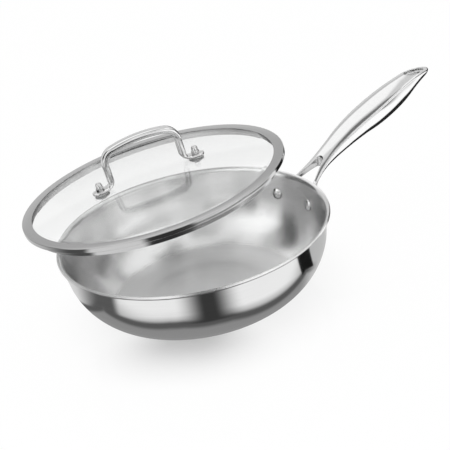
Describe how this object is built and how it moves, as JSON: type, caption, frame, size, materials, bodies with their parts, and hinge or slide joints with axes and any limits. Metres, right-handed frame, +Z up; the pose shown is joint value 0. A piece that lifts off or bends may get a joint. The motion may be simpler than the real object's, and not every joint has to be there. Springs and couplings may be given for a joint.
{
  "type": "frying pan with lid",
  "caption": "Deep round frying pan with a forked, hollow cast handle, and a domed glass lid in a steel band with a loop handle.",
  "frame": {"origin": "centre of the pan's flat base, on its underside", "axes": "+Z up through the pan's mouth, +X out along the long handle"},
  "size_m": [0.4796, 0.2944, 0.1802],
  "materials": {
    "pan_inside": "stainless steel, brushed in circles, satin",
    "core": "plain rolled, seen only at the lip's edge",
    "pan_outside": "stainless steel, mirror polished",
    "cast_handle": "cast stainless steel, polished",
    "rivets": "stainless steel, satin",
    "glass": "clear tempered glass",
    "band": "stainless steel sheet, satin top",
    "nuts": "stainless steel, polished",
    "gaskets": "milky silicone",
    "washers": "stainless steel, plain",
    "screws": "stainless steel, plain"
  },
  "bodies": {
    "pan": {"inner_steel_layer": "pan_inside", "aluminium_core": "core", "outer_steel_layer": "pan_outside", "long_handle": "cast_handle", "rivet_left": "rivets", "rivet_right": "rivets"},
    "lid": {"lid_glass": "glass", "lid_band": "band", "lid_handle": "cast_handle", "cap_nut_left": "nuts", "cap_nut_right": "nuts", "upper_gasket_left": "gaskets", "upper_gasket_right": "gaskets", "lower_gasket_left": "gaskets", "lower_gasket_right": "gaskets", "washer_left": "washers", "washer_right": "washers", "lid_screw_left": "screws", "lid_screw_right": "screws"}
  },
  "joints": [
    {"name": "lid_lift", "type": "hinge", "parent": "pan", "child": "lid", "pos_m": [-0.24492, 0.34978, -0.184], "axis": [-0.8192, -0.5736, 0], "range_deg": [-6.4, 30]}
  ]
}
